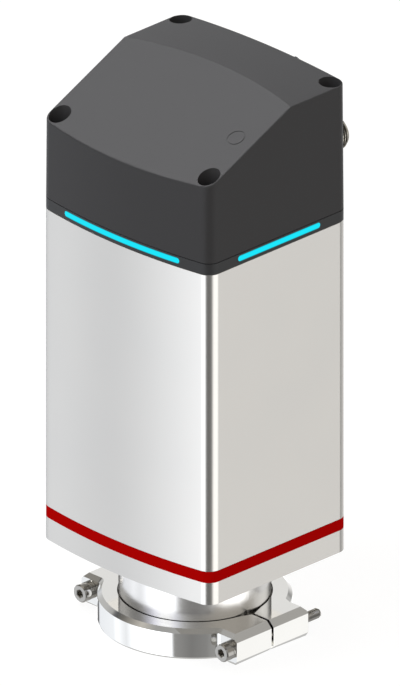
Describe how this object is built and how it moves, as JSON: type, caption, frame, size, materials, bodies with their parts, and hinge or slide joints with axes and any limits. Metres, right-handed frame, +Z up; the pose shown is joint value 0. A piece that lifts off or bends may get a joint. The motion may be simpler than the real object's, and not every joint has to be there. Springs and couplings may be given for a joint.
{
  "type": "electric valve actuator",
  "caption": "Upright electric actuator with a steel sleeve, dark sloped cover, lit bars, and a split clamp that holds its magnet coupling on a valve.",
  "frame": {"origin": "centre of the clamp's underside, on the valve's axis", "axes": "+Z up along the valve's axis, -Y towards the bowed front, +Y towards the connectors, +X right"},
  "size_m": [0.0778, 0.0786, 0.1966],
  "materials": {
    "turned_steel": "turned stainless steel",
    "sleeve_steel": "brushed stainless steel sheet",
    "clamp_steel": "cast and milled stainless steel",
    "screw_steel": "stainless steel screws",
    "bearing_steel": "ground bearing steel",
    "laminated_steel": "stacked steel sheet",
    "cast_aluminium": "die-cast aluminium",
    "plated_brass": "nickel-plated brass",
    "gold_brass": "gold-plated brass",
    "copper_wire": "enamelled copper wire",
    "magnet": "nickel-plated magnet",
    "red_rubber": "matt red silicone rubber",
    "black_rubber": "black seal rubber",
    "cover_plastic": "fine-textured dark grey moulded plastic",
    "dark_plastic": "dark moulded plastic",
    "light_guide": "clear light guide, lit cyan",
    "circuit_board": "green circuit board",
    "lead_jacket": "black wire jacket"
  },
  "bodies": {
    "housing": {"neck": "turned_steel", "base_plate": "turned_steel", "neck_seal": "black_rubber", "trim_band": "red_rubber", "housing_sleeve": "sleeve_steel", "tie_bolts": "screw_steel", "light_frame": "dark_plastic", "sleeve_seal": "black_rubber", "light_bars": "light_guide", "light_board": "circuit_board", "light_emitters": "light_guide", "top_cover": "cover_plastic", "cover_seal": "black_rubber", "vent_plug": "dark_plastic", "power_connector": "plated_brass", "signal_connector": "plated_brass", "connector_seals": "black_rubber", "power_insert": "dark_plastic", "signal_insert": "dark_plastic", "power_pins": "gold_brass", "signal_pins": "gold_brass", "ring_nuts": "plated_brass", "motor_front_cap": "cast_aluminium", "motor_rear_cap": "cast_aluminium", "motor_stator": "laminated_steel", "motor_coils": "copper_wire", "motor_cap_screws": "screw_steel", "motor_mount_screws": "screw_steel", "lower_bearing": "bearing_steel", "upper_bearing": "bearing_steel", "driver_board": "circuit_board", "control_board": "circuit_board", "board_standoffs": "plated_brass", "board_screws": "screw_steel", "driver_capacitors": "cast_aluminium", "driver_chips": "dark_plastic", "control_chip": "dark_plastic", "board_link": "dark_plastic", "lead_sockets": "dark_plastic", "motor_leads": "lead_jacket", "connector_leads": "lead_jacket", "clamp_rear_half": "clamp_steel"},
    "rotor": {"motor_shaft": "turned_steel", "rotor_stacks": "laminated_steel", "rotor_magnet": "magnet", "coupling_carrier": "turned_steel", "coupling_magnets": "magnet", "coupling_liner": "turned_steel", "coupling_set_screws": "screw_steel", "lower_inner_ring": "bearing_steel", "upper_inner_ring": "bearing_steel"},
    "clamp_front": {"clamp_front_half": "clamp_steel", "lock_washers": "screw_steel"},
    "clamp_screw_left": {"clamp_screw_left": "screw_steel"},
    "clamp_screw_right": {"clamp_screw_right": "screw_steel"}
  },
  "joints": [
    {"name": "rotor_spin", "type": "hinge", "parent": "housing", "child": "rotor", "pos_m": [0, 0, 0.08], "axis": [0, 0, 1], "continuous": true},
    {"name": "clamp_open", "type": "slide", "parent": "housing", "child": "clamp_front", "axis": [0, -1, 0], "range_m": [0, 0.008]},
    {"name": "clamp_screw_left_turn", "type": "hinge", "parent": "clamp_front", "child": "clamp_screw_left", "pos_m": [-0.0326, -0.0175, 0.0048], "axis": [0, -1, 0], "range_deg": [0, 4800]},
    {"name": "clamp_screw_right_turn", "type": "hinge", "parent": "clamp_front", "child": "clamp_screw_right", "pos_m": [0.0326, -0.0175, 0.0048], "axis": [0, -1, 0], "range_deg": [0, 4800]}
  ],
  "couplings": [
    {"joint": "clamp_screw_left_turn", "follows": "clamp_open", "rad_per_m": 10472},
    {"joint": "clamp_screw_right_turn", "follows": "clamp_open", "rad_per_m": 10472}
  ]
}
